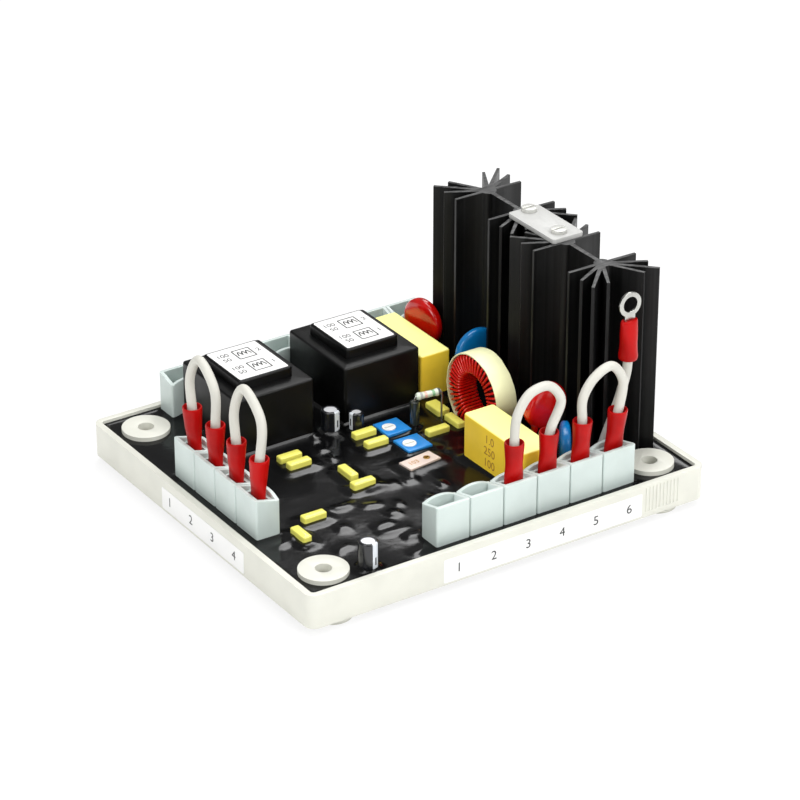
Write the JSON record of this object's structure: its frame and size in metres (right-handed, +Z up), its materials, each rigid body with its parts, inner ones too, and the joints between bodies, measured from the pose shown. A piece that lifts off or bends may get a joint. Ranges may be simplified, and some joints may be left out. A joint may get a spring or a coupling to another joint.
{
  "type": "automatic voltage regulator",
  "caption": "Potted generator voltage regulator: a shallow open tray of resin with tab strips on three sides, transformers, capacitors, a toroid choke and upright finned heat sinks.",
  "frame": {"origin": "under the middle of the tray, on the plane of its feet", "axes": "+X along the front wall towards the heat sinks, +Y to the rear tab strip, +Z up"},
  "size_m": [0.15, 0.135, 0.08],
  "materials": {
    "tray_plastic": "moulded, fine satin",
    "filling_resin": "glossy cast",
    "board_laminate": "laminate",
    "housing_nylon": "milky",
    "tin_plate": "tin plated",
    "sleeve_red": "glossy",
    "wire_white": "soft satin",
    "sink_black": "black anodised",
    "tie_white": "satin",
    "screw_steel": "zinc plated",
    "transistor_black": "matt",
    "transformer_black": "satin gloss",
    "capacitor_yellow": "glossy",
    "can_sleeve": "shrunk film",
    "disc_red": "dipped lacquer",
    "disc_blue": "dipped lacquer",
    "ferrite": "sintered",
    "copper_enamel": "red enamel",
    "tape_cream": "film tape",
    "trimmer_blue": "satin gloss",
    "rotor_white": "satin",
    "trimmer_pale": "satin",
    "adjuster_brass": "turned",
    "resistor_pale": "lacquered",
    "lead_sleeve_dark": "shrunk tube",
    "resistor_tan": "lacquered",
    "diode_black": "matt"
  },
  "bodies": {
    "regulator": {"tray": "tray_plastic", "potting": "filling_resin", "circuit_board": "board_laminate", "front_tab_housings": "housing_nylon", "left_tab_housings": "housing_nylon", "rear_tab_housings": "housing_nylon", "front_tab_blades": "tin_plate", "left_tab_blades": "tin_plate", "rear_tab_blades": "tin_plate", "front_receptacles": "tin_plate", "left_receptacles": "tin_plate", "front_shells": "housing_nylon", "left_shells": "housing_nylon", "front_sleeves": "sleeve_red", "left_sleeves": "sleeve_red", "front_jumper_1": "wire_white", "front_jumper_2": "wire_white", "left_jumper_1": "wire_white", "left_jumper_2": "wire_white", "ring_lead": "wire_white", "ring_lead_sleeve": "sleeve_red", "ring_terminal": "tin_plate", "rear_heat_sink": "sink_black", "front_heat_sink": "sink_black", "sink_tie_plate": "tie_white", "tie_plate_screws": "screw_steel", "power_transistors": "transistor_black", "transistor_screws": "screw_steel", "left_transformer": "transformer_black", "right_transformer": "transformer_black", "rear_box_capacitor": "capacitor_yellow", "front_box_capacitor": "capacitor_yellow", "film_capacitors": "capacitor_yellow", "electrolytic_capacitors": "can_sleeve", "rear_red_disc": "disc_red", "front_red_disc": "disc_red", "rear_blue_disc": "disc_blue", "front_blue_disc": "disc_blue", "choke_core": "ferrite", "choke_winding": "copper_enamel", "choke_tape": "tape_cream", "rear_trimmer": "trimmer_blue", "front_trimmer": "trimmer_blue", "multiturn_trimmer": "trimmer_pale", "raised_resistor": "resistor_pale", "raised_lead_sleeve": "lead_sleeve_dark", "axial_resistors": "resistor_tan", "rectifier_diodes": "diode_black", "control_chips": "diode_black"},
    "rear_rotor": {"rear_trimmer_rotor": "rotor_white"},
    "front_rotor": {"front_trimmer_rotor": "rotor_white"},
    "adjuster": {"multiturn_screw": "adjuster_brass"}
  },
  "joints": [
    {"name": "rear_trimmer_turn", "type": "hinge", "parent": "regulator", "child": "rear_rotor", "pos_m": [0.00426, 0.01039, 0.014], "axis": [0, 0, 1], "range_deg": [-135, 135]},
    {"name": "front_trimmer_turn", "type": "hinge", "parent": "regulator", "child": "front_rotor", "pos_m": [0.00387, -0.00244, 0.014], "axis": [0, 0, 1], "range_deg": [-135, 135]},
    {"name": "multiturn_turn", "type": "hinge", "parent": "regulator", "child": "adjuster", "pos_m": [0.00339, -0.01316, 0.0138], "axis": [0, 0, 1], "continuous": true}
  ]
}
